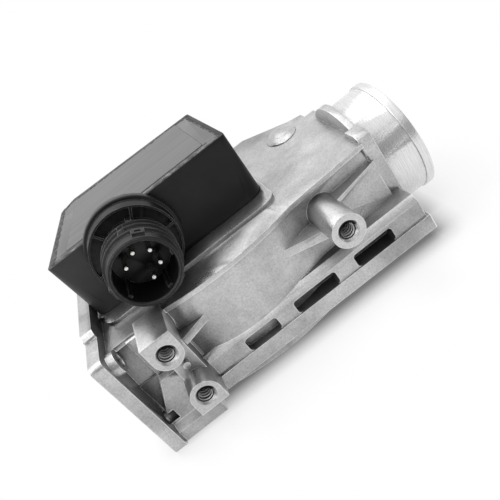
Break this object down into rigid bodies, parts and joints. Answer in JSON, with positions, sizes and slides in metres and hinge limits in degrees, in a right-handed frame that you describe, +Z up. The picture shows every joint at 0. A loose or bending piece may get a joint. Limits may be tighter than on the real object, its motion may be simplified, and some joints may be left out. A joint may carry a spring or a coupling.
{
  "type": "mass airflow sensor",
  "caption": "Vane air flow meter: cast body with a sprung flap, round outlet and moulded cover with a round plug.",
  "frame": {"origin": "centre of the inlet flange's bolt pattern, on the outlet tube's axis, in the plane of the inlet face", "axes": "+X along the air flow from flange to outlet tube, +Z up out of the cover, -Y out of the threaded bosses and the plug"},
  "size_m": [0.1675, 0.1235, 0.0954],
  "materials": {
    "cast_alloy": "satin die cast with machined faces",
    "black_plastic": "satin moulded",
    "grey_panel": "smooth satin",
    "sealant": "rough set sealant",
    "tinned_metal": "bright tinned",
    "steel": "ground",
    "flap_alloy": "die cast",
    "bearing_bronze": "sintered",
    "wheel_plastic": "moulded",
    "board": "fired ceramic"
  },
  "bodies": {
    "meter": {"housing": "cast_alloy", "cover": "black_plastic", "cover_panel": "grey_panel", "panel_sealant": "sealant", "plug_shell": "black_plastic", "plug_pins": "tinned_metal", "lower_bearing": "bearing_bronze", "upper_bearing": "bearing_bronze", "lower_plug": "steel", "tension_wheel": "wheel_plastic", "return_spring": "steel", "wheel_clip": "steel", "track_board": "board", "board_screws": "steel", "terminal_strip": "wheel_plastic", "air_sensor": "black_plastic"},
    "flap": {"flap": "flap_alloy", "shaft": "steel", "spring_collet": "steel", "wiper_arm": "wheel_plastic", "wiper_fingers": "tinned_metal", "counterweight": "steel", "retaining_ring": "steel"}
  },
  "joints": [
    {"name": "flap_pivot", "type": "hinge", "parent": "meter", "child": "flap", "pos_m": [0.062, 0.012, 0], "axis": [0, 0, 1], "range_deg": [0, 78], "stiffness_Nm_per_rad": 0.02, "springref_deg": -34.38, "deforming": ["return_spring"]}
  ]
}
